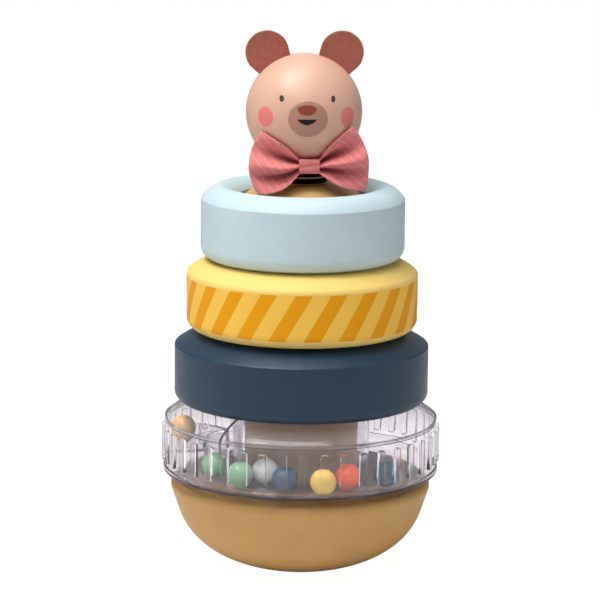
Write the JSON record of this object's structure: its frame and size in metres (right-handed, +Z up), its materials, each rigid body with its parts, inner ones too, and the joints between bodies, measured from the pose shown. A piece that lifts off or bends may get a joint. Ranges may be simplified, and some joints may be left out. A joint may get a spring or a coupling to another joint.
{
  "type": "stacking ring toy",
  "caption": "Stacking toy: a weighted round-bottomed base with a post, a clear rattle ring of loose beads, solid rings of falling size and a lift-off bear head with a bow.",
  "frame": {"origin": "centre of the flat foot, on the surface that the toy stands on", "axes": "+Z up along the post, -Y towards the front, +X to the right seen from the front"},
  "size_m": [0.1314, 0.1314, 0.2541],
  "materials": {
    "base_tan": "matte, fine moulded grain",
    "post_tan": "matte",
    "iron": "raw casting",
    "screw_steel": "zinc plated",
    "clear_plastic": "clear, faint violet tint",
    "bead_sand": "gloss",
    "bead_green": "gloss",
    "bead_white": "gloss",
    "bead_navy": "gloss",
    "bead_yellow": "gloss",
    "bead_orange": "gloss",
    "bead_teal": "gloss",
    "navy": "satin",
    "yellow": "matte, printed stripe band",
    "blue": "matte, fine grain",
    "neck_brown": "matte",
    "skin": "matte paint with a printed face",
    "ear_felt": "brushed felt",
    "bow_cloth": "fine pinstriped weave",
    "band_elastic": "woven elastic"
  },
  "bodies": {
    "base": {"base_bowl": "base_tan", "base_deck": "base_tan", "center_post": "post_tan", "counterweight": "iron", "deck_screws": "screw_steel", "post_screws": "screw_steel", "weight_screws": "screw_steel"},
    "rattle_ring": {"rattle_tray": "clear_plastic", "rattle_lid": "clear_plastic"},
    "navy_ring": {"navy_ring_shell": "navy", "navy_ring_cover": "navy"},
    "yellow_ring": {"yellow_ring_shell": "yellow", "yellow_ring_cover": "yellow"},
    "blue_ring": {"blue_ring_shell": "blue", "blue_ring_cover": "blue"},
    "neck": {"neck_stem": "neck_brown"},
    "head": {"head_front_shell": "skin", "head_back_shell": "skin", "ear_left": "ear_felt", "ear_right": "ear_felt", "bow_loop_left": "bow_cloth", "bow_loop_right": "bow_cloth", "bow_knot": "bow_cloth", "neck_band": "band_elastic"},
    "bead_sand": {"bead_sand": "bead_sand"},
    "bead_green_back": {"bead_green_back": "bead_green"},
    "bead_green_front": {"bead_green_front": "bead_green"},
    "bead_white": {"bead_white": "bead_white"},
    "bead_navy": {"bead_navy": "bead_navy"},
    "bead_yellow": {"bead_yellow": "bead_yellow"},
    "bead_orange": {"bead_orange": "bead_orange"},
    "bead_teal": {"bead_teal": "bead_teal"}
  },
  "joints": [
    {"name": "rattle_ring_lift", "type": "slide", "parent": "base", "child": "rattle_ring", "axis": [0, 0, 1], "range_m": [0, 0.145]},
    {"name": "navy_ring_lift", "type": "slide", "parent": "rattle_ring", "child": "navy_ring", "axis": [0, 0, 1], "range_m": [0, 0.11]},
    {"name": "yellow_ring_lift", "type": "slide", "parent": "navy_ring", "child": "yellow_ring", "axis": [0, 0, 1], "range_m": [0, 0.08]},
    {"name": "blue_ring_lift", "type": "slide", "parent": "yellow_ring", "child": "blue_ring", "axis": [0, 0, 1], "range_m": [0, 0.045]},
    {"name": "head_lift", "type": "slide", "parent": "blue_ring", "child": "neck", "axis": [0, 0, 1], "range_m": [0, 0.03]},
    {"name": "head_swivel", "type": "hinge", "parent": "neck", "child": "head", "pos_m": [0, 0, 0.194], "axis": [0, 0, 1], "continuous": true},
    {"name": "bead_sand_roll", "type": "hinge", "parent": "rattle_ring", "child": "bead_sand", "pos_m": [0, 0, 0.0535], "axis": [0, 0, 1], "range_deg": [-30, 10]},
    {"name": "bead_green_back_roll", "type": "hinge", "parent": "rattle_ring", "child": "bead_green_back", "pos_m": [0, 0, 0.0535], "axis": [0, 0, 1], "range_deg": [-8, 4]},
    {"name": "bead_green_front_roll", "type": "hinge", "parent": "rattle_ring", "child": "bead_green_front", "pos_m": [0, 0, 0.0535], "axis": [0, 0, 1], "range_deg": [-3, 0]},
    {"name": "bead_white_roll", "type": "hinge", "parent": "rattle_ring", "child": "bead_white", "pos_m": [0, 0, 0.0535], "axis": [0, 0, 1], "range_deg": [0, 4]},
    {"name": "bead_navy_roll", "type": "hinge", "parent": "rattle_ring", "child": "bead_navy", "pos_m": [0, 0, 0.0535], "axis": [0, 0, 1], "range_deg": [-3, 3]},
    {"name": "bead_yellow_roll", "type": "hinge", "parent": "rattle_ring", "child": "bead_yellow", "pos_m": [0, 0, 0.0535], "axis": [0, 0, 1], "range_deg": [-3, 0]},
    {"name": "bead_orange_roll", "type": "hinge", "parent": "rattle_ring", "child": "bead_orange", "pos_m": [0, 0, 0.0535], "axis": [0, 0, 1], "range_deg": [-1, 2]},
    {"name": "bead_teal_roll", "type": "hinge", "parent": "rattle_ring", "child": "bead_teal", "pos_m": [0, 0, 0.0535], "axis": [0, 0, 1], "range_deg": [0, 60]}
  ]
}
